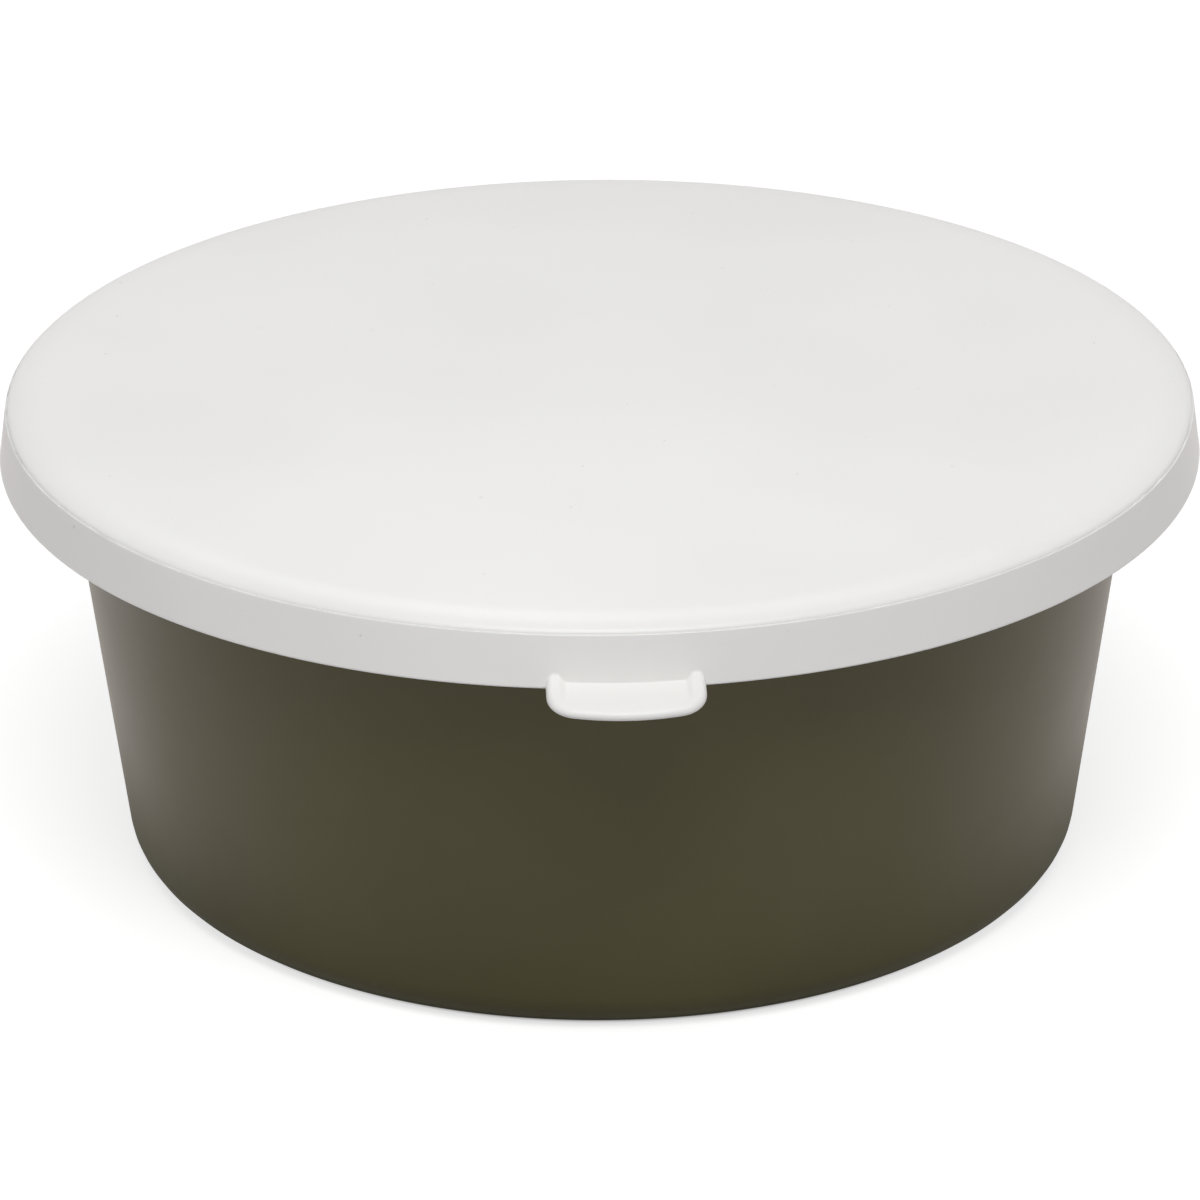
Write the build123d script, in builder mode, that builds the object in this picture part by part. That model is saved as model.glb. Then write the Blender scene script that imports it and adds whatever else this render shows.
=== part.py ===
from build123d import *
import os
from math import cos, radians, sqrt, tan

# Feed bowl with a press-on lid, in millimetres, +Z up.
# The origin is the centre of the face the bowl stands on.
# The lid's pull tab points along -Y.

# Bowl: a straight wall that leans outwards, on a flat floor with a low foot ring
bowl_height = 118.8
base_radius = 119.6
wall_lean = 7.4
wall_thickness = 2.2
floor_thickness = 2.4
heel_radius = 10.0
foot_height = 1.2
foot_width = 7.0

# Bowl rim: a flat seat for the lid, rounded over into a lip that hangs down
rim_width = 11.0
rim_round = 7.5
rim_thickness = 2.2
rim_drop = 10.8
rim_armpit_radius = 1.5
mouth_round = 1.0
lip_round = 0.9

# Lid: a flat plate with a soft shoulder, a thin ledge and a skirt that flares
lid_thickness = 2.0
skirt_depth = 13.8
skirt_flare = 7.9
skirt_thickness = 1.8
skirt_edge_round = 0.5
shoulder_reach = 9.3
shoulder_drop = 2.8
ledge_width = 0.6
ledge_round = 0.25
corner_radius_inside = 3.0

# Snap bead: a low ring inside the skirt, just under the rim's lip
bead_above_edge = 1.5
bead_height = 2.6
bead_depth = 1.7
snap_gap = 0.3

# Pull tab: a sloping shelf at the skirt's lower edge, between two rounded cheeks
tab_width = 37.2
tab_reach = 11.6
tab_thickness = 2.2
tab_slope = 11.0
tab_front_radius = 58.0
tab_corner_radius = 7.5
tab_crease_above_edge = 1.4
tab_edge_round = 0.9
cheek_width = 4.4
cheek_rise = 1.5
cheek_slope = 20.0
cheek_round = 1.7

# Places on the bowl that follow from its sizes
lean = tan(radians(wall_lean))
rim_radius = base_radius + bowl_height * lean + rim_width
wall_across = wall_thickness / cos(radians(wall_lean))
floor_z = foot_height + floor_thickness
lip_z = bowl_height - rim_drop
rim_under_z = bowl_height - rim_thickness
foot_outer_radius = base_radius - heel_radius * tan(radians(45 - wall_lean / 2))
foot_inner_radius = foot_outer_radius - foot_width

# Places on the lid that follow from the bowl's rim and the snap
flare = tan(radians(skirt_flare))
lid_top_z = bowl_height + lid_thickness
skirt_edge_z = bowl_height - skirt_depth
ledge_z = lid_top_z - shoulder_drop
bead_z = skirt_edge_z + bead_above_edge
bead_radius = rim_radius + snap_gap


def wall_outside(z):
    """Radius of the bowl's outer face at height z."""
    return base_radius + z * lean


def wall_inside(z):
    """Radius of the bowl's inner face at height z."""
    return wall_outside(z) - wall_across


def skirt_inside(z):
    """Radius of the skirt's inner face at height z, beside the bead."""
    return bead_radius + bead_depth - (z - bead_z) * flare


def skirt_outside(z):
    """Radius of the skirt's outer face at height z."""
    return skirt_inside(z) + skirt_thickness


def nearest(sketch, x, y):
    """The sketch's corner nearest to a point in its own plane."""
    return sketch.vertices().sort_by_distance((x, y, 0))[0]


# The bowl is one moulding, turned about Z from its wall section
with BuildPart() as bowl:
    with BuildSketch(Plane.XZ) as bowl_section:
        with BuildLine():
            Polyline(
                (0, foot_height),
                (foot_inner_radius, foot_height),
                (foot_inner_radius, 0),
                (base_radius, 0),
                (wall_outside(rim_under_z), rim_under_z),
                (rim_radius - rim_thickness, rim_under_z),
                (rim_radius - rim_thickness, lip_z),
                (rim_radius, lip_z),
                (rim_radius, bowl_height),
                (wall_inside(bowl_height), bowl_height),
                (wall_inside(floor_z), floor_z),
                (0, floor_z),
                close=True,
            )
        make_face()
        fillet(nearest(bowl_section, base_radius, 0), heel_radius)
        fillet(nearest(bowl_section, wall_inside(floor_z), floor_z), heel_radius - wall_thickness)
        fillet(nearest(bowl_section, wall_outside(rim_under_z), rim_under_z), rim_armpit_radius)
        fillet(nearest(bowl_section, rim_radius - rim_thickness, rim_under_z), rim_round - rim_thickness)
        fillet(nearest(bowl_section, rim_radius, bowl_height), rim_round)
        fillet(nearest(bowl_section, wall_inside(bowl_height), bowl_height), mouth_round)
        fillet(nearest(bowl_section, rim_radius, lip_z), lip_round)
        fillet(nearest(bowl_section, rim_radius - rim_thickness, lip_z), lip_round)
    revolve(axis=Axis.Z)

# Places on the tab: its root is buried in the skirt's wall, and y runs outwards as -Y
skirt_edge_radius = skirt_outside(skirt_edge_z)
tab_root_y = -sqrt(skirt_inside(skirt_edge_z) ** 2 - (tab_width / 2) ** 2)
tab_front_y = -skirt_edge_radius - tab_reach
tab_corner_y = tab_front_y + tab_front_radius - sqrt(tab_front_radius**2 - (tab_width / 2) ** 2)
crease_z = skirt_edge_z + tab_crease_above_edge
shelf_fall = tan(radians(tab_slope))
cheek_fall = tan(radians(cheek_slope))
tab_across = tab_thickness / cos(radians(tab_slope))


def shelf_top(y):
    """Height of the shelf's upper face at a place along Y."""
    return crease_z + (y + skirt_edge_radius) * shelf_fall


def shelf_under(y):
    """Height of the shelf's lower face at a place along Y."""
    return shelf_top(y) - tab_across


def cheek_top(y):
    """Height of a cheek's crest at a place along Y."""
    return crease_z + cheek_rise + (y + skirt_edge_radius) * cheek_fall


# The tab seen from above: straight sides, a bowed front and well rounded corners
with BuildSketch(Plane.XY) as tab_plan:
    with BuildLine():
        Line((-tab_width / 2, tab_corner_y), (-tab_width / 2, tab_root_y))
        Line((-tab_width / 2, tab_root_y), (tab_width / 2, tab_root_y))
        Line((tab_width / 2, tab_root_y), (tab_width / 2, tab_corner_y))
        ThreePointArc((tab_width / 2, tab_corner_y), (0, tab_front_y), (-tab_width / 2, tab_corner_y))
    make_face()
    fillet(nearest(tab_plan, tab_width / 2, tab_corner_y), tab_corner_radius)
    fillet(nearest(tab_plan, -tab_width / 2, tab_corner_y), tab_corner_radius)

# The shelf slopes down and outwards, with a rounded edge all round its plan
with BuildPart() as shelf:
    with BuildSketch(Plane.YZ):
        with BuildLine():
            Polyline(
                (tab_root_y, shelf_under(tab_root_y)),
                (tab_root_y, shelf_top(tab_root_y)),
                (tab_front_y, shelf_top(tab_front_y)),
                (tab_front_y, shelf_under(tab_front_y)),
                close=True,
            )
        make_face()
    extrude(amount=tab_width, both=True)
    extrude(tab_plan.sketch, amount=lid_top_z, mode=Mode.INTERSECT)
    flat_faces = shelf.faces().sort_by(Axis.Z)
    rims = flat_faces[0].edges() + flat_faces[-1].edges()
    fillet(rims.filter_by_position(Axis.Y, tab_front_y - 1, tab_root_y - 0.01), tab_edge_round)

# One rounded cheek at each side of the shelf, standing in the upper half of its thickness
with BuildPart() as cheeks:
    with BuildSketch(Plane.YZ):
        with BuildLine():
            Polyline(
                (tab_root_y, shelf_top(tab_root_y) - tab_across / 2),
                (tab_root_y, cheek_top(tab_root_y)),
                (tab_front_y, cheek_top(tab_front_y)),
                (tab_front_y, shelf_top(tab_front_y) - tab_across / 2),
                close=True,
            )
        make_face()
    extrude(amount=cheek_width / 2, both=True)
    crest = cheeks.faces().sort_by(Axis.Z)[-1]
    fillet(crest.edges().filter_by(Axis.X, reverse=True), cheek_round)

with BuildPart() as tab:
    cheek_x = (tab_width - cheek_width) / 2
    with Locations((cheek_x, 0, 0), (-cheek_x, 0, 0)):
        add(cheeks.part)
    extrude(tab_plan.sketch, amount=lid_top_z, mode=Mode.INTERSECT)
    add(shelf.part)

# The lid is one moulding: an outer skin turned about Z, the tab, then the hollow under it
with BuildPart() as lid:
    with BuildSketch(Plane.XZ) as lid_skin:
        ledge_radius = skirt_outside(ledge_z)
        shoulder_radius = ledge_radius - ledge_width
        with BuildLine():
            Polyline(
                (shoulder_radius, ledge_z),
                (ledge_radius, ledge_z),
                (skirt_edge_radius, skirt_edge_z),
                (0, skirt_edge_z),
                (0, lid_top_z),
                (shoulder_radius - shoulder_reach, lid_top_z),
            )
            EllipticalCenterArc(
                (shoulder_radius - shoulder_reach, ledge_z), shoulder_reach, shoulder_drop
            )
        make_face()
        fillet(nearest(lid_skin, ledge_radius, ledge_z), ledge_round)
        fillet(nearest(lid_skin, skirt_edge_radius, skirt_edge_z), skirt_edge_round)
    revolve(axis=Axis.Z)
    add(tab.part)
    with BuildSketch(Plane.XZ) as lid_hollow:
        with BuildLine():
            hollow = Polyline(
                (skirt_inside(bead_z - bead_height / 2), bead_z - bead_height / 2),
                (skirt_inside(skirt_edge_z), skirt_edge_z),
                (skirt_inside(skirt_edge_z), 0),
                (0, 0),
                (0, bowl_height),
                (skirt_inside(bowl_height), bowl_height),
                (skirt_inside(bead_z + bead_height / 2), bead_z + bead_height / 2),
            )
            ThreePointArc(hollow @ 1, (bead_radius, bead_z), hollow @ 0)
        make_face()
        fillet(nearest(lid_hollow, skirt_inside(bowl_height), bowl_height), corner_radius_inside)
    revolve(axis=Axis.Z, mode=Mode.SUBTRACT)

bowl.part.label = "bowl"
lid.part.label = "lid"

os.makedirs("parts", exist_ok=True)
export_step(bowl.part, "parts/bowl.step")
export_step(lid.part, "parts/lid.step")
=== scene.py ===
# %% [markdown]
# A feed bowl is two mouldings: an olive bowl, and a white lid that presses over its rim and peels off by a
# tab. Both are turned shapes, so each could be spun from half a section, carved from a cylinder, or lofted
# ring by ring. Here one Geometry Nodes lathe turns both, because a section is the drawing that a toolmaker
# works from: a corner moved in it moves all round the piece.

# %% Load the fixed frame
from math import cos, hypot, pi, radians, sin, sqrt, tan

import bmesh
import bpy
from mathutils import Matrix, Vector


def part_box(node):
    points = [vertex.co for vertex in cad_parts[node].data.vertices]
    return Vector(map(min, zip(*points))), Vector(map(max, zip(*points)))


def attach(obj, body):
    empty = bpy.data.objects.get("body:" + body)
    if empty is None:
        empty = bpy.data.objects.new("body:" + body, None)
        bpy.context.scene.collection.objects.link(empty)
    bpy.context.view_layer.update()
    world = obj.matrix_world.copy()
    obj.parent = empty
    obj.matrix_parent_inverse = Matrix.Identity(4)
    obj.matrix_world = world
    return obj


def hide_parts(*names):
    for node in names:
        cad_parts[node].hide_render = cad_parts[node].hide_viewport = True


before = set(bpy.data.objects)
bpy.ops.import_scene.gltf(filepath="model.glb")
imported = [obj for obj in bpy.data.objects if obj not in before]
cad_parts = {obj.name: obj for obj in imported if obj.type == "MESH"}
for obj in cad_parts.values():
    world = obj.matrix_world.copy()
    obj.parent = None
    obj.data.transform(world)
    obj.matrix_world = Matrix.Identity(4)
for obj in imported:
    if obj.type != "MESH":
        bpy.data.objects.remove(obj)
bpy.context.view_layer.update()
MM = 0.001

# %% [markdown]
# The frame gives what both pieces have to fit: how wide and high each is, and how far the tab reaches.
# These could be typed in as well, but a size that is read from the frame can't drift from the solids. The
# rest are the sizes a moulder would write on the drawing: leans, walls and the small radii.

# %% Sizes taken from the frame
_, bowl_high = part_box("bowl")
lid_low, lid_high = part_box("lid")
rim_radius, bowl_height = bowl_high.x, bowl_high.z
lid_radius, lid_top = lid_high.x, lid_high.z
tab_front = -lid_low.y
print(f"rim {rim_radius / MM:.1f} mm, lid {lid_radius / MM:.1f} mm, top at {lid_top / MM:.1f} mm")

# %% [markdown]
# Surfaces are written as sums and products of patterns. Blender builds those from Math nodes, and wiring
# dozens by hand is hard to read. So one small class wraps a socket, and arithmetic on it adds the nodes.
# Colours and vectors don't survive a Math node, so they go through Mix and Vector Math by name instead.

# %% A socket that can be used in an expression
class Wire:
    """One output of a node. Arithmetic on it adds Math nodes to the same tree."""

    def __init__(self, socket):
        self.socket = socket

    def math(self, operation, *others):
        values = dict(enumerate((self, *others)))
        return grow(self.socket.id_data, "ShaderNodeMath", {"operation": operation}, values)

    def __add__(self, other):
        return self.math("ADD", other)

    def __mul__(self, other):
        return self.math("MULTIPLY", other)

    def __sub__(self, other):
        return self.math("SUBTRACT", other)

    def __rsub__(self, other):
        return (self * -1) + other

    def __truediv__(self, other):
        return self.math("DIVIDE", other)

    __radd__ = __add__
    __rmul__ = __mul__


def feed(node, values):
    """Sets a node's sockets, by name or number, from plain values, and links those that get a wire."""
    for name, value in values.items():
        if isinstance(value, Wire):
            node.id_data.links.new(value.socket, node.inputs[name])
        else:
            node.inputs[name].default_value = value


def grow(tree, kind, settings=None, inputs=None, output=0):
    """Adds one node, with its settings first and then its values and links, and returns one output."""
    node = tree.nodes.new(kind)
    for name, value in (settings or {}).items():
        setattr(node, name, value)
    feed(node, inputs or {})
    return Wire(node.outputs[output])


print("patterns can be written as expressions")

# %% [markdown]
# A section is the half outline of a piece, cut by a plane through its centre line. It is written as its
# corners, each with the radius the mould cutter leaves there. A Bevel modifier could round the turned mesh
# instead, but it gives every edge one width. So a helper turns each corner into an arc of its own radius,
# with a point just before and after it, so that the shading bends at the corner and not across the flat.

# %% From corners to a smooth section
ARC_STEPS = 8
SUPPORT = 0.1 * MM
LONGEST_STEP = 5 * MM


def rounded_corner(before, corner, after, radius):
    """The points of the arc that rounds one corner of a section, with a support point at each end."""
    back, ahead = (before - corner).normalized(), (after - corner).normalized()
    half = back.angle(ahead) / 2
    reach = radius / tan(half)
    centre = corner + (back + ahead).normalized() * (radius / sin(half))
    start, stop = corner + back * reach - centre, corner + ahead * reach - centre
    turn = start.angle(stop)
    arc = [
        centre + (start * sin(turn * (1 - t)) + stop * sin(turn * t)) / sin(turn)
        for t in (step / ARC_STEPS for step in range(ARC_STEPS + 1))
    ]
    ends = (corner + back * (reach + SUPPORT), corner + ahead * (reach + SUPPORT))
    return [ends[0], *arc, ends[1]]


def section(corners):
    """A section's points (radius, height), from corners given as (radius, height, rounding)."""
    places = [Vector((r, z)) for r, z, _ in corners]
    outline = [places[0]]
    for i in range(1, len(corners) - 1):
        rounding = corners[i][2]
        if rounding:
            outline += rounded_corner(places[i - 1], places[i], places[i + 1], rounding)
        else:
            outline.append(places[i])
    outline.append(places[-1])
    points = [outline[0]]
    for place in outline[1:]:
        start = points[-1]
        steps = max(1, round((place - start).length / LONGEST_STEP))
        points += [start.lerp(place, step / steps) for step in range(1, steps + 1)]
    return points


print("each rounded corner takes", ARC_STEPS, "steps")

# %% [markdown]
# The lathe is a grid: one direction runs along the section and the other round the axis. Each grid point
# looks up its place on the section by its index, and is then turned about Z. A slow wave bends the lid's
# plate down a little, as a thin moulded lid is never quite flat. Blender's Screw modifier could also spin
# the section, but it has no place for the wave, and it leaves open poles to be closed afterwards.

# %% The lathe as a Geometry Nodes tree
LATHE_INPUTS = {
    "Section": "NodeSocketGeometry",
    "Steps Round": "NodeSocketInt",
    "Wave Depth": "NodeSocketFloat",
    "Wave Radius": "NodeSocketFloat",
    "Wave Floor": "NodeSocketFloat",
    "Wave Top": "NodeSocketFloat",
    "Material": "NodeSocketMaterial",
}
OVAL_TURN, CLOVER_TURN, CLOVER_SHARE = 0.9, 2.2, 0.5
SAME_PLACE = 1e-6


def plate_wave(angle, out):
    """An oval and a three-leaved wave, which grow from the middle, out=0, to the rim, out=1."""
    oval = (angle * 2 + OVAL_TURN).math("COSINE") * out * out
    clover = (angle * 3 + CLOVER_TURN).math("COSINE") * out * CLOVER_SHARE
    return oval + clover


def lathe_tree():
    """Turns the modifier's own mesh, a line of points in XZ, about Z into a closed skin."""
    tree = bpy.data.node_groups.new("lathe", "GeometryNodeTree")
    for name, kind in LATHE_INPUTS.items():
        tree.interface.new_socket(name, in_out="INPUT", socket_type=kind)
    tree.interface.new_socket("Skin", in_out="OUTPUT", socket_type="NodeSocketGeometry")
    given = tree.nodes.new("NodeGroupInput")
    line, steps, depth, reach, floor_z, top_z, paint = (Wire(given.outputs[name]) for name in LATHE_INPUTS)

    count = grow(tree, "GeometryNodeAttributeDomainSize", {}, {"Geometry": line})
    grid = grow(tree, "GeometryNodeMeshGrid", {}, {"Vertices X": steps + 1, "Vertices Y": count})
    index = grow(tree, "GeometryNodeInputIndex")
    turn = (index / count).math("FLOOR")
    place = grow(tree, "GeometryNodeSampleIndex", {"data_type": "FLOAT_VECTOR"}, {
        "Geometry": line,
        "Value": grow(tree, "GeometryNodeInputPosition"),
        "Index": index - turn * count,
    })
    radius, height = (grow(tree, "ShaderNodeSeparateXYZ", {}, {0: place}, axis) for axis in "XZ")

    angle = turn / steps * (2 * pi)
    plate = ((height - floor_z) / (top_z - floor_z)).math("MAXIMUM", 0.0)
    sag = (plate_wave(angle, radius / reach) - (1 + CLOVER_SHARE)) * depth * plate
    point = grow(tree, "ShaderNodeCombineXYZ", {}, {
        "X": radius * angle.math("SINE"),
        "Y": radius * angle.math("COSINE") * -1,
        "Z": height + sag,
    })
    skin = grow(tree, "GeometryNodeSetPosition", {}, {"Geometry": grid, "Position": point})
    skin = grow(tree, "GeometryNodeMergeByDistance", {}, {"Geometry": skin, "Distance": SAME_PLACE})
    skin = grow(tree, "GeometryNodeSetShadeSmooth", {}, {"Geometry": skin})
    skin = grow(tree, "GeometryNodeRealizeInstances", {}, {"Geometry": skin})
    skin = grow(tree, "GeometryNodeSetMaterial", {}, {"Geometry": skin, "Material": paint})
    feed(tree.nodes.new("NodeGroupOutput"), {"Skin": skin})
    return tree


LATHE = lathe_tree()
print("lathe tree has", len(LATHE.nodes), "nodes")

# %% [markdown]
# A tree only shows its result while its modifier is live. The finished piece should be a plain mesh, which
# every exporter reads alike, so the result is taken once and the modifier's object is thrown away. A lathe
# can go wrong in ways that a render hides: a seam left open, a skin turned inside out, or a fold. A closed
# skin that faces outwards has a positive volume and no open edges, and at a fold more than two faces share
# an edge. So all three are measured and printed.

# %% Turning a section, and measuring the result
def shown_mesh(holder):
    """The plain mesh that an object's modifiers give it."""
    return bpy.data.meshes.new_from_object(holder.evaluated_get(bpy.context.evaluated_depsgraph_get()))


def piece(name, mesh):
    """An object at the origin that shows a mesh which already lies in place."""
    made = bpy.data.objects.new(name, mesh)
    bpy.context.scene.collection.objects.link(made)
    return made


def turned(name, points, material, wave_depth=0.0):
    """The plain mesh that the lathe makes of one section."""
    line = bpy.data.meshes.new(name + "_section")
    edges = [(i, i + 1) for i in range(len(points) - 1)]
    line.from_pydata([(p.x, 0, p.y) for p in points], edges, [])
    holder = piece(name + "_section", line)
    modifier = holder.modifiers.new("lathe", "NODES")
    modifier.node_group = LATHE
    values = {
        "Steps Round": STEPS_ROUND,
        "Wave Depth": wave_depth,
        "Wave Radius": rim_radius,
        "Wave Floor": bowl_height,
        "Wave Top": lid_top,
        "Material": material,
    }
    for item in LATHE.interface.items_tree:
        if item.name in values:
            modifier[item.identifier] = values[item.name]
    mesh = shown_mesh(holder)
    bpy.data.objects.remove(holder)
    mesh.name = name
    return mesh


def report(name, mesh):
    """Prints a skin's volume, which is negative where it is inside out, and its open and folded edges."""
    solid = bmesh.new()
    solid.from_mesh(mesh)
    litres = solid.calc_volume(signed=True) * 1000
    shared = [len(edge.link_faces) for edge in solid.edges]
    faulty = f"{sum(n < 2 for n in shared)} open and {sum(n > 2 for n in shared)} folded edges"
    print(f"{name}: {litres:.4f} litres, {faulty}, {len(solid.faces)} faces")
    solid.free()


STEPS_ROUND = 288
print("a turn takes", STEPS_ROUND, "steps")

# %% [markdown]
# Both plastics come out of a steel mould, which leaves a fine grain and a slow ripple. These could be
# modelled, but they are far smaller than a face of the mesh, so the shader bends the light instead. The
# patterns read Object coordinates, so they stay on a piece when it moves, and they are counted in blobs per
# metre, so one of 20 has blobs 5 cm wide.

# %% Patterns that both plastics use
def plastic(name):
    """A new material, its shader, and the object's own coordinates for patterns."""
    material = bpy.data.materials.new(name)
    material.use_nodes = True
    tree = material.node_tree
    return material, tree.nodes["Principled BSDF"], grow(tree, "ShaderNodeTexCoord", output="Object")


def noise(place, scale, detail, roughness=0.5):
    """A cloud of values about 0.5."""
    values = {"Vector": place, "Scale": scale, "Detail": detail, "Roughness": roughness}
    return grow(place.socket.id_data, "ShaderNodeTexNoise", {}, values)


def smooth_step(wire, low, high):
    """0 below low, 1 above high, and a soft slope between them."""
    limits = {"Value": wire, "From Min": low, "From Max": high}
    return grow(wire.socket.id_data, "ShaderNodeMapRange", {"interpolation_type": "SMOOTHSTEP"}, limits)


def mix_colour(factor, first, second):
    """A blend of two colours, which a Math node would turn grey."""
    tree = factor.socket.id_data
    return grow(tree, "ShaderNodeMix", {"data_type": "RGBA"}, {0: factor, 6: first, 7: second}, output=2)


def bump(place, clouds, height, detail, below=None):
    """Turns a cloud into a normal, on top of another bump where one is given."""
    values = {"Height": noise(place, clouds, detail), "Distance": height, "Strength": 1.0}
    if below:
        values["Normal"] = below
    return grow(place.socket.id_data, "ShaderNodeBump", {}, values)


def moulded_relief(place, grain, ripple):
    """A mould's fine grain with a slow ripple over it, each given as its clouds and its height."""
    return bump(place, *ripple, detail=2, below=bump(place, *grain, detail=1))


def colour(red, green, blue):
    """A linear colour from the 0 to 255 values that a picture shows."""
    shares = (value / 255 for value in (red, green, blue))
    return (*(s / 12.92 if s <= 0.04045 else ((s + 0.055) / 1.055) ** 2.4 for s in shares), 1.0)


print("a middle grey of 128 is", round(colour(128, 128, 128)[0], 3), "in linear light")

# %% [markdown]
# The bowl is olive polypropylene and nearly matte. One flat colour would look like a drawing of it, and a
# picture wrapped round it would need a seam. So a slow cloud shifts the pigment a little, a second one
# shifts the roughness, and a third leaves a few pale rubs near the heel, where it scrapes on the ground.

# %% The bowl's olive plastic
OLIVE_DEEP, OLIVE_PALE = colour(75, 71, 42), colour(81, 76, 47)
OLIVE_SCUFF = colour(104, 99, 82)
PIGMENT_CLOUDS, PIGMENT_RANGE = 16, (0.3, 0.7)
RUB_CLOUDS, RUB_PEAKS, RUB_STRENGTH = 140, (0.62, 0.75), 0.5
RUB_HEIGHTS = (2 * MM, 14 * MM)
OLIVE_ROUGHNESS, OLIVE_CHANGE, OLIVE_CHANGE_CLOUDS = 0.34, 0.08, 30
OLIVE_GRAIN, OLIVE_RIPPLE = (1800, 0.02 * MM), (45, 0.12 * MM)


def olive_plastic():
    """Satin olive polypropylene with uneven pigment, a fine mould grain and a few pale rubs low down."""
    material, shader, place = plastic("olive_plastic")
    cloud = noise(place, PIGMENT_CLOUDS, detail=3)
    pigment = mix_colour(smooth_step(cloud, *PIGMENT_RANGE), OLIVE_DEEP, OLIVE_PALE)
    height = grow(place.socket.id_data, "ShaderNodeSeparateXYZ", {}, {0: place}, output="Z")
    heel = 1 - smooth_step(height, *RUB_HEIGHTS)
    rubs = smooth_step(noise(place, RUB_CLOUDS, detail=5, roughness=0.7), *RUB_PEAKS)
    feed(shader, {
        "Base Color": mix_colour(rubs * heel * RUB_STRENGTH, pigment, OLIVE_SCUFF),
        "Roughness": noise(place, OLIVE_CHANGE_CLOUDS, detail=2) * OLIVE_CHANGE + OLIVE_ROUGHNESS,
        "Normal": moulded_relief(place, OLIVE_GRAIN, OLIVE_RIPPLE),
        "Specular IOR Level": 0.28,
    })
    return material


OLIVE_PLASTIC = olive_plastic()
print("material", OLIVE_PLASTIC.name)

# %% [markdown]
# The lid is white polyethylene, waxy and a little glossier. Light enters it a little and leaves again,
# which softens the tab's edges, so the shader scatters light under the surface over a few millimetres.
# Its specks are the peaks of a fine cloud: the step lets only the highest ones through, so they are rare
# and fall at random. Placing them by hand would soon show a row or a gap.

# %% The lid's white plastic
WHITE, WHITE_SHADE = colour(239, 238, 236), colour(235, 234, 232)
SPECK = colour(196, 192, 188)
SHADE_CLOUDS, SHADE_RANGE = 9, (0.35, 0.65)
SPECK_CLOUDS, SPECK_PEAKS, SPECK_STRENGTH = 400, (0.79, 0.83), 0.45
WHITE_ROUGHNESS, WHITE_CHANGE, WHITE_CHANGE_CLOUDS = 0.3, 0.12, 22
WHITE_GRAIN, WHITE_RIPPLE = (1500, 0.015 * MM), (26, 0.2 * MM)


def white_plastic():
    """Waxy white polyethylene with faint shade changes, tiny specks and a soft moulded grain."""
    material, shader, place = plastic("white_plastic")
    cloud = noise(place, SHADE_CLOUDS, detail=2)
    shade = mix_colour(smooth_step(cloud, *SHADE_RANGE), WHITE, WHITE_SHADE)
    specks = smooth_step(noise(place, SPECK_CLOUDS, detail=1), *SPECK_PEAKS)
    feed(shader, {
        "Base Color": mix_colour(specks * SPECK_STRENGTH, shade, SPECK),
        "Roughness": noise(place, WHITE_CHANGE_CLOUDS, detail=3) * WHITE_CHANGE + WHITE_ROUGHNESS,
        "Normal": moulded_relief(place, WHITE_GRAIN, WHITE_RIPPLE),
        "Specular IOR Level": 0.4,
        "Subsurface Weight": 0.12,
        "Subsurface Radius": (1.0, 0.95, 0.9),
        "Subsurface Scale": 2.5 * MM,
    })
    return material


WHITE_PLASTIC = white_plastic()
print("material", WHITE_PLASTIC.name)

# %% [markdown]
# The bowl's wall leans out so that it slips off its mould, and the rim turns over into a lip that is
# comfortable to carry and that the lid can catch on. Drawing the section once and turning it keeps the
# wall equally thick all round, which a solid cylinder with a hole cut in it would not promise. Under the
# base is the dimple where the plastic was let in. Its two roundings take up its whole height, so their
# support points pass each other there by a tenth of a millimetre, and the count below shows that one fold.

# %% The bowl's section
lean_degrees = 7.4
wall_lean = tan(radians(lean_degrees))
wall_across = 2.2 * MM / cos(radians(lean_degrees))
base_radius = 119.6 * MM
foot_height, foot_width, floor_z = 1.2 * MM, 7 * MM, 3.6 * MM
heel_radius, heel_inside = 10 * MM, 7.8 * MM
foot_inner = base_radius - heel_radius * tan(radians(45 - lean_degrees / 2)) - foot_width
rim_thickness, rim_round, rim_armpit = 2.2 * MM, 7.5 * MM, 1.5 * MM
lip_round, mouth_round, foot_round = 0.9 * MM, 1 * MM, 0.4 * MM
rim_under, lip_z = bowl_height - rim_thickness, bowl_height - 10.8 * MM
gate_radius, gate_depth = 4 * MM, 0.4 * MM
gate_inside, gate_outside = 0.3 * MM, 0.1 * MM


def wall_at(height):
    """Radius of the bowl's outer face."""
    return base_radius + height * wall_lean


bowl_section = section([
    (0, foot_height + gate_depth, 0),
    (gate_radius, foot_height + gate_depth, gate_inside),
    (gate_radius, foot_height, gate_outside),
    (foot_inner, foot_height, foot_round),
    (foot_inner, 0, foot_round),
    (base_radius, 0, heel_radius),
    (wall_at(rim_under), rim_under, rim_armpit),
    (rim_radius - rim_thickness, rim_under, rim_round - rim_thickness),
    (rim_radius - rim_thickness, lip_z, lip_round),
    (rim_radius, lip_z, lip_round),
    (rim_radius, bowl_height, rim_round),
    (wall_at(bowl_height) - wall_across, bowl_height, mouth_round),
    (wall_at(floor_z) - wall_across, floor_z, heel_inside),
    (0, floor_z, 0),
])
bowl_mesh = turned("bowl_moulding", bowl_section, OLIVE_PLASTIC)
report("bowl", bowl_mesh)

# %% [markdown]
# The lid's skirt flares, so that the mould opens, and a small bead inside it catches under the rim's lip.
# Where the two mould halves meet, a thin ledge runs round the top of the skirt. It is less than a
# millimetre wide, but it draws the bright line that is the first thing one sees on the lid's edge. The
# shoulder above it is flatter than a circle, so it is written as a quarter of an ellipse.

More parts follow.
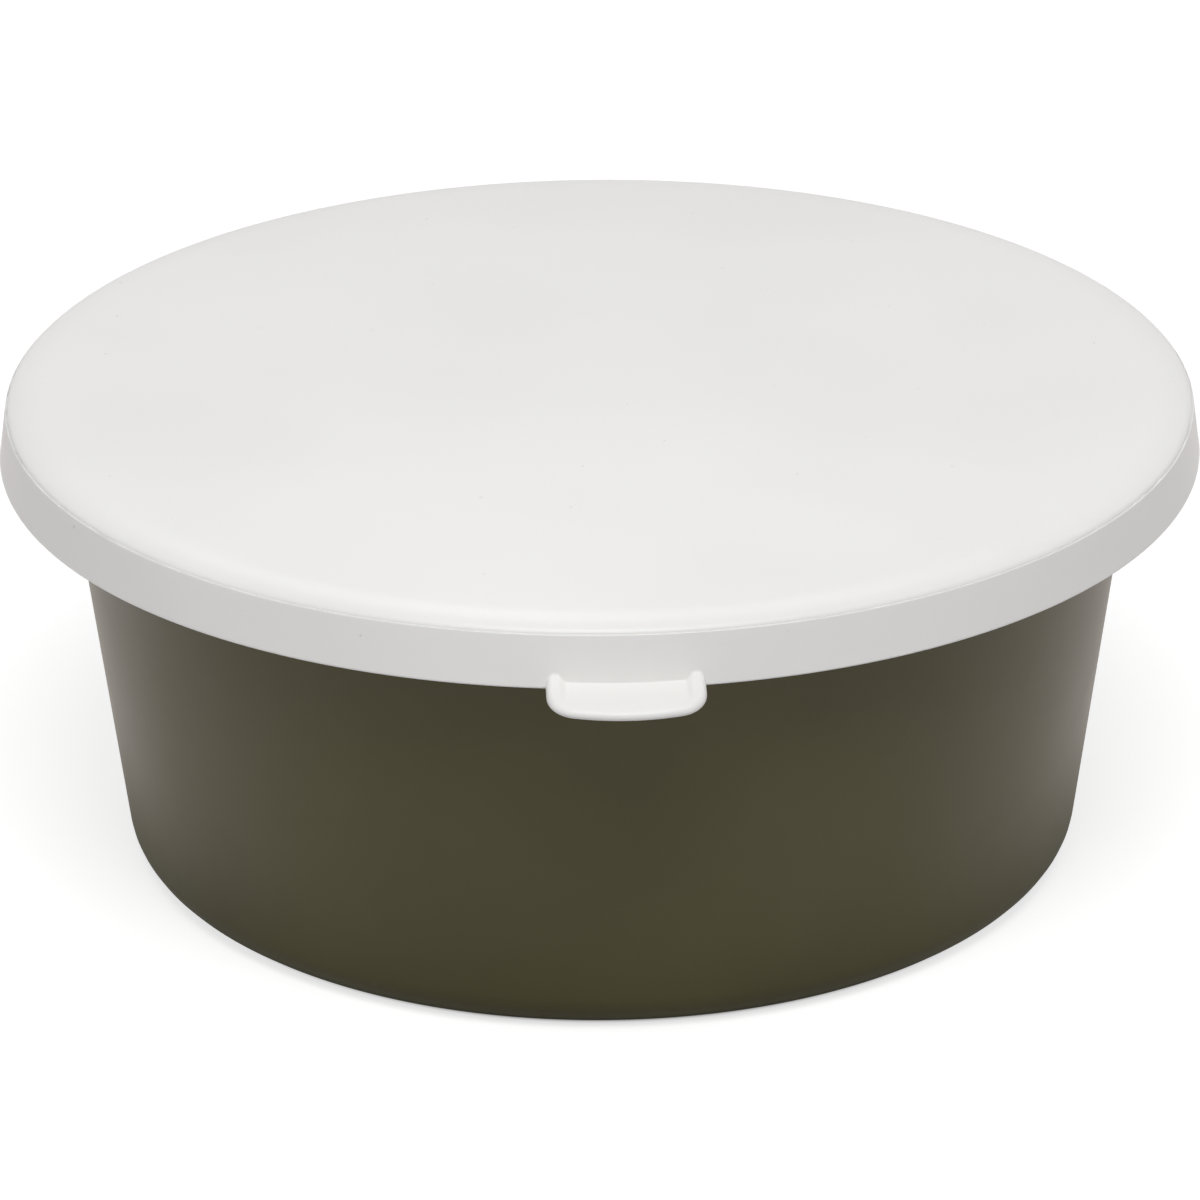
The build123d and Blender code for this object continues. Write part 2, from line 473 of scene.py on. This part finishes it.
# %% The lid's section
skirt_flare = tan(radians(7.9))
skirt_edge = bowl_height - 13.8 * MM
skirt_wall = 1.8 * MM
bead_z, bead_half, bead_depth = skirt_edge + 1.5 * MM, 1.3 * MM, 1.7 * MM
bead_radius = rim_radius + 0.3 * MM
ledge_z, ledge_width = lid_top - 2.8 * MM, 0.45 * MM
ledge_round, ledge_groove = 0.22 * MM, 0.08 * MM
ceiling_round, edge_inside, edge_outside = 3 * MM, 0.4 * MM, 0.5 * MM
shoulder_reach = 9.3 * MM
plate_sag = 0.12 * MM
CURVE_STEPS = 12


def skirt_inside(height):
    """Radius of the skirt's inner face."""
    return bead_radius + bead_depth - (height - bead_z) * skirt_flare


def skirt_outside(height):
    """Radius of the skirt's outer face."""
    return skirt_inside(height) + skirt_wall


def quarter(step):
    """An angle from 0 to a quarter turn."""
    return pi / 2 * step / CURVE_STEPS


bead = [
    (skirt_inside(bead_z) - bead_depth * sin(quarter(2 * s)), bead_z + bead_half * cos(quarter(2 * s)), 0)
    for s in range(CURVE_STEPS + 1)
]
shoulder_radius = skirt_outside(ledge_z) - ledge_width
shoulder = [
    (
        shoulder_radius - shoulder_reach * (1 - cos(quarter(s))),
        ledge_z + (lid_top - ledge_z) * sin(quarter(s)),
        0,
    )
    for s in range(1, CURVE_STEPS + 1)
]
lid_section = section([
    (0, bowl_height, 0),
    (skirt_inside(bowl_height), bowl_height, ceiling_round),
    *bead,
    (skirt_inside(skirt_edge), skirt_edge, edge_inside),
    (skirt_outside(skirt_edge), skirt_edge, edge_outside),
    (skirt_outside(ledge_z), ledge_z, ledge_round),
    (shoulder_radius, ledge_z, ledge_groove),
    *shoulder,
    (0, lid_top, 0),
])
lid_mesh = turned("lid_moulding", lid_section, WHITE_PLASTIC, plate_sag)
report("lid", lid_mesh)

# %% [markdown]
# The pull tab is a sloping shelf with a rounded cheek at each side, which stops a thumb slipping off.
# It was moulded with the lid, so it has to flow into the skirt, and a box with bevels would leave a hard
# joint there. Its plan comes first: a shallow arc in front that meets a corner arc at each side. For every
# point of it, two questions have to be answered: how far the plan reaches, and how near its edge is.

# %% The tab's plan
tab_half = 18.6 * MM
front_radius, corner_radius = 58 * MM, 7.5 * MM
corner_x = tab_half - corner_radius
front_centre = tab_front - front_radius
corner_centre = front_centre + sqrt((front_radius - corner_radius) ** 2 - corner_x**2)


def plan_reach(x):
    """How far out the tab's plan reaches at a place across it."""
    if abs(x) * (front_radius - corner_radius) <= corner_x * front_radius:
        return front_centre + sqrt(front_radius**2 - x * x)
    return corner_centre + sqrt(max(0, corner_radius**2 - (abs(x) - corner_x) ** 2))


def plan_margin(x, out):
    """Distance from a point inside the plan to the plan's edge."""
    aside, beyond = abs(x) - corner_x, out - corner_centre
    past_the_front = abs(x) * (corner_centre - front_centre) > corner_x * (out - front_centre)
    if beyond > 0 and aside > 0 and past_the_front:
        return max(0, corner_radius - hypot(aside, beyond))
    return max(0, min(tab_half - abs(x), front_radius - hypot(x, out - front_centre)))


print(f"tab is {2 * tab_half / MM:.1f} mm wide, its corners start {corner_centre / MM:.1f} mm out")

# %% [markdown]
# The tab's upper and lower faces are written as heights over that plan. The heights meet in a full round
# along the plan's edge, and the upper one rises in a small fillet where the shelf reaches the skirt.
# Sculpting the tab would be quicker, but heights keep it equal left and right, and each radius a number.

# %% The tab's heights
tab_thickness = 2.24 * MM
shelf_fall, cheek_fall = tan(radians(11)), tan(radians(20))
cheek_width, cheek_rise, cheek_blend = 4.8 * MM, 1.5 * MM, 0.4
crease_z = skirt_edge + 1.4 * MM
edge_round, cheek_round = 1.0 * MM, 1.7 * MM
fillet = 0.5 * MM
skirt_edge_radius = skirt_outside(skirt_edge)


def soften(t):
    """0 to 1 with no corner at either end."""
    t = min(1, max(0, t))
    return t * t * (3 - 2 * t)


def roundness(margin, radius):
    """How much of the full height stands at this distance from the plan's edge."""
    return sqrt(1 - (1 - min(1, margin / radius)) ** 2)


def cheek_share(x):
    """1 on a cheek, 0 on the shelf between the cheeks."""
    return soften((abs(x) - tab_half + cheek_width) / (cheek_blend * cheek_width))


def tab_heights(x, out, wall):
    """Upper and lower height of the tab at one point of its plan, where wall is the skirt's place."""
    past_skirt, share = out - skirt_edge_radius, cheek_share(x)
    shelf = crease_z - past_skirt * shelf_fall
    cheek = max(0, cheek_rise - past_skirt * (cheek_fall - shelf_fall))
    rise = fillet - sqrt(max(0, fillet**2 - max(0, fillet - max(0, out - wall)) ** 2))
    middle = shelf - tab_thickness / 2
    margin = plan_margin(x, out)
    top_round = edge_round + (cheek_round - edge_round) * share * cheek / cheek_rise
    upper = middle + (shelf + cheek * share + rise - middle) * roundness(margin, top_round)
    lower = middle - tab_thickness / 2 * roundness(margin, edge_round)
    return upper, lower


print(f"shelf leaves the skirt at {crease_z / MM:.1f} mm, cheeks stand {cheek_rise / MM:.1f} mm over it")

# %% [markdown]
# The heights now need points to stand on. An even grid would waste most of them on the flat shelf and
# leave the round edges with corners. So the columns crowd together towards the sides, and along each column
# the rows crowd into the fillet at the skirt and into the rounded lip in front.

# %% The tab's mesh
ACROSS, FILLET_ROWS, SHELF_ROWS, LIP_ROWS = 96, 6, 12, 8
LEAST_SHELF = 0.2
buried = 0.05 * MM
root_radius = skirt_inside(skirt_edge) + 0.4 * MM
DOUBLE, DEGENERATE = 0.002 * MM, 0.001 * MM


def tab_rows(x):
    """Places out along one column, and where its wall is: buried root, fillet, shelf, rounded lip."""
    fillet_top = crease_z + cheek_rise * cheek_share(x) + fillet
    wall = sqrt(skirt_outside(fillet_top) ** 2 - x * x) - buried
    reach = plan_reach(x)
    rows = [sqrt(root_radius**2 - x * x), wall]
    rows += [wall + fillet * (1 - cos(pi / 2 * k / FILLET_ROWS)) for k in range(1, FILLET_ROWS + 1)]
    foot = rows[-1]
    lip = max(reach - cheek_round, foot + LEAST_SHELF * (reach - foot))
    rows += [foot + (lip - foot) * k / SHELF_ROWS for k in range(1, SHELF_ROWS + 1)]
    rows += [lip + (reach - lip) * sin(pi / 2 * k / LIP_ROWS) for k in range(1, LIP_ROWS + 1)]
    return rows, wall


def tab_mesh():
    """The tab as a closed skin, its root buried in the skirt's wall."""
    solid = bmesh.new()
    columns = []
    for i in range(ACROSS + 1):
        x = tab_half * sin(pi / 2 * (2 * i / ACROSS - 1))
        rows, wall = tab_rows(x)
        heights = [tab_heights(x, out, wall) for out in rows]
        columns.append([
            [solid.verts.new((x, -out, pair[side])) for out, pair in zip(rows, heights)]
            for side in (0, 1)
        ])
    for left, right in zip(columns, columns[1:]):
        for side, order in ((0, -1), (1, 1)):
            for k in range(len(left[side]) - 1):
                corners = (left[side][k], right[side][k], right[side][k + 1], left[side][k + 1])
                solid.faces.new(corners[::order])
        solid.faces.new((left[0][0], right[0][0], right[1][0], left[1][0]))
    bmesh.ops.remove_doubles(solid, verts=solid.verts, dist=DOUBLE)
    bmesh.ops.dissolve_degenerate(solid, edges=solid.edges, dist=DEGENERATE)
    bmesh.ops.recalc_face_normals(solid, faces=solid.faces)
    for face in solid.faces:
        face.smooth = True
    mesh = bpy.data.meshes.new("tab")
    solid.to_mesh(mesh)
    solid.free()
    mesh.materials.append(WHITE_PLASTIC)
    return mesh


tab = tab_mesh()
report("tab", tab)

# %% [markdown]
# The lid and tab are one moulding, so they are joined with an exact Boolean union. It cuts away the tab's
# buried root, which would otherwise sit inside the skirt as a second skin. The cut leaves many-sided faces
# on the skirt, and plain smooth shading would bend them. The Weighted Normal modifier lets the large faces
# decide, so the skirt stays even right up to the tab.

# %% One lid
def united(name, first, second):
    """One skin around two overlapping ones."""
    body, tool = piece(name + "_body", first), piece(name + "_tool", second)
    union = body.modifiers.new("union", "BOOLEAN")
    union.operation, union.solver, union.object = "UNION", "EXACT", tool
    body.modifiers.new("flat_faces_stay_flat", "WEIGHTED_NORMAL")
    mesh = shown_mesh(body)
    for spent in (body, tool):
        bpy.data.objects.remove(spent)
    mesh.name = name
    return mesh


lid_whole = united("lid_moulding", lid_mesh, tab)
report("lid with tab", lid_whole)

# %% [markdown]
# The frame's solids show the same two pieces with plainer edges. They could stay hidden underneath, but two
# skins in one place flicker, so each new piece takes its solid's place and rides on the same body.

# %% Both pieces on their bodies
bowl_moulding = piece("bowl_moulding", bowl_mesh)
lid_moulding = piece("lid_moulding", lid_whole)
for made, node in ((bowl_moulding, "bowl"), (lid_moulding, "lid")):
    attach(made, node)
    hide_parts(node)
print("pieces", bowl_moulding.name, lid_moulding.name)

# %% [markdown]
# A product like this is photographed in a white tent. A brighter world would turn the background white, but
# it would wash out the plastics too. So the world lights them at less than a third of white, and only what
# looks straight at it, or mirrors it, sees pure white.

# %% The white tent around it
WORLD_FILL = 0.285
PURE_WHITE = (1, 1, 1, 1)


def direct_rays(tree):
    """1 for camera rays, and 1 for the mirror and glass rays that also show the surroundings."""
    path = tree.nodes.new("ShaderNodeLightPath")
    camera, mirror, glass = (
        Wire(path.outputs[name]) for name in ("Is Camera Ray", "Is Glossy Ray", "Is Transmission Ray")
    )
    return camera, (mirror + glass).math("MINIMUM", 1.0)


world = bpy.data.worlds.new("white_tent")
bpy.context.scene.world = world
world.use_nodes = True
seen, mirrored = direct_rays(world.node_tree)
feed(world.node_tree.nodes["Background"], {
    "Strength": (seen + mirrored) * (1 - WORLD_FILL) + WORLD_FILL,
    "Color": PURE_WHITE,
})
print("world", world.name)

# %% [markdown]
# The floor is a pale grey, because a white one would throw so much light up that the bowl's underside
# glowed. A lift that only direct and mirror rays see brings it back to white. Shadows stay in it, as the
# lift is only added to the light that falls there. The lift is left out in a ring just under the heel,
# where a real floor gets no light, which paints a soft dark contact shadow for the bowl to stand on. In
# mirror rays the lift fades out slowly towards the bowl, a painted shade in the reflection that darkens
# the foot of the bowl's wall, and there it is tinted a little warm, a painted warm sheen on the bowl's
# sides.

# %% The floor
FLOOR_SHADE = 0.55
FLOOR_LIFT = 0.7
FLOOR_HALF = 5
# A painted warm tint on the floor as mirror rays see it, which colours the sheen on the bowl's sides.
PAINTED_WARM_SHEEN = (1, 0.9, 0.88, 1)
# Radii of the painted contact shadow under the heel, where the lift is left out, and of the painted shade
# that fades out of the floor's reflection.
PAINTED_SHADOW_INSIDE, PAINTED_SHADOW_OUTSIDE, PAINTED_REFLECTION_SHADE_OUTSIDE = 112 * MM, 115 * MM, 170 * MM

floor_material, floor_shader, floor_place = plastic("pale_floor")
floor_tree = floor_material.node_tree
flat_place = grow(floor_tree, "ShaderNodeVectorMath", {"operation": "MULTIPLY"}, {
    0: floor_place,
    1: (1, 1, 0),
})
from_axis = grow(floor_tree, "ShaderNodeVectorMath", {"operation": "LENGTH"}, {0: flat_place}, "Value")
seen, mirrored = direct_rays(floor_tree)
feed(floor_shader, {
    "Base Color": (FLOOR_SHADE, FLOOR_SHADE, FLOOR_SHADE, 1),
    "Roughness": 0.9,
    "Specular IOR Level": 0.0,
    # The lift is left out in a ring under the heel: a painted contact shadow, and in mirror rays a wider
    # painted shade in the reflection at the bowl's foot.
    "Emission Strength": FLOOR_LIFT * (
        seen * smooth_step(from_axis, PAINTED_SHADOW_INSIDE, PAINTED_SHADOW_OUTSIDE)
        + mirrored * smooth_step(from_axis, PAINTED_SHADOW_INSIDE, PAINTED_REFLECTION_SHADE_OUTSIDE)
    ),
    # Mirror rays see the lift in a painted warm tint, a painted warm sheen on the bowl's sides.
    "Emission Color": mix_colour(mirrored, PURE_WHITE, PAINTED_WARM_SHEEN),
})
corners = [(x * FLOOR_HALF, y * FLOOR_HALF, 0) for x, y in ((-1, -1), (1, -1), (1, 1), (-1, 1))]
floor_mesh = bpy.data.meshes.new("floor")
floor_mesh.from_pydata(corners, [], [(0, 1, 2, 3)])
floor_mesh.materials.append(floor_material)
piece("floor", floor_mesh)
print("floor is", 2 * FLOOR_HALF, "m wide")

# %% [markdown]
# Inside the tent stand four soft boxes. A large one high in front lights the lid and gives its front edge
# the glow, a weaker one behind keeps the far edge from going dull, and one low at each side picks out the
# bowl's sides. One sun would be simpler, but its shadow would be hard, and a lid this waxy shows every
# lamp. So each box is large, as a small bright one would leave a white patch on the plate.

# %% The soft boxes
SOFT_BOXES = {
    # name: turn from the front, rise from the floor (degrees), distance, width (metres), power (watts)
    "front_box": (0, 60, 1.6, 0.9, 14.6),
    "back_box": (180, 50, 1.5, 0.6, 2.3),
    "left_box": (-80, 20, 1.4, 0.95, 1.2),
    "right_box": (80, 20, 1.4, 0.95, 1.2),
}


def direction(turn, rise):
    """Which way a thing lies that is turned from the front and raised from the floor, in radians."""
    return Vector((sin(turn) * cos(rise), -cos(turn) * cos(rise), sin(rise)))


def soft_box(name, turn, rise, distance, width, power):
    """A square lamp that faces the middle of the bowl's rim."""
    place = direction(radians(turn), radians(rise)) * distance
    lamp = bpy.data.lights.new(name, "AREA")
    lamp.size, lamp.energy = width, power
    holder = bpy.data.objects.new(name, lamp)
    holder.location = place
    holder.rotation_euler = (Vector((0, 0, bowl_height)) - place).to_track_quat("-Z", "Y").to_euler()
    bpy.context.scene.collection.objects.link(holder)


for name, sizes in SOFT_BOXES.items():
    soft_box(name, *sizes)
print("lamps", [lamp.name for lamp in bpy.data.lights])

# %% [markdown]
# The camera stands back nearly two metres with a long lens, which is why the rim's far side looks almost
# as wide as its near side. A near camera with a short lens could frame the bowl alike, but the lid would
# bulge towards us. Its place comes from the outlines of rim and base, and a small roll levels it. The
# Standard view shows each colour as it was written, where the default one would grey the whites.

# %% The camera
VIEW_TURN, VIEW_RISE, VIEW_ROLL = radians(-2.2), radians(24.0), -0.0063
VIEW_DISTANCE, VIEW_LENS, VIEW_SENSOR = 1.8, 213.2, 36
AIM_ASIDE, AIM_BELOW_SKIRT = -0.15 * MM, 44 * MM

lens = bpy.data.cameras.new("camera")
lens.lens, lens.sensor_width = VIEW_LENS, VIEW_SENSOR
camera = bpy.data.objects.new("camera", lens)
aim = Vector((AIM_ASIDE, 0, skirt_edge - AIM_BELOW_SKIRT))
back = direction(VIEW_TURN, VIEW_RISE)
level = (-back).to_track_quat("-Z", "Y").to_matrix() @ Matrix.Rotation(VIEW_ROLL, 3, "Z")
camera.matrix_world = Matrix.Translation(aim + back * VIEW_DISTANCE) @ level.to_4x4()
bpy.context.scene.collection.objects.link(camera)
bpy.context.scene.camera = camera
bpy.context.scene.view_settings.view_transform = "Standard"
print("camera at", [round(v, 3) for v in camera.matrix_world.translation])
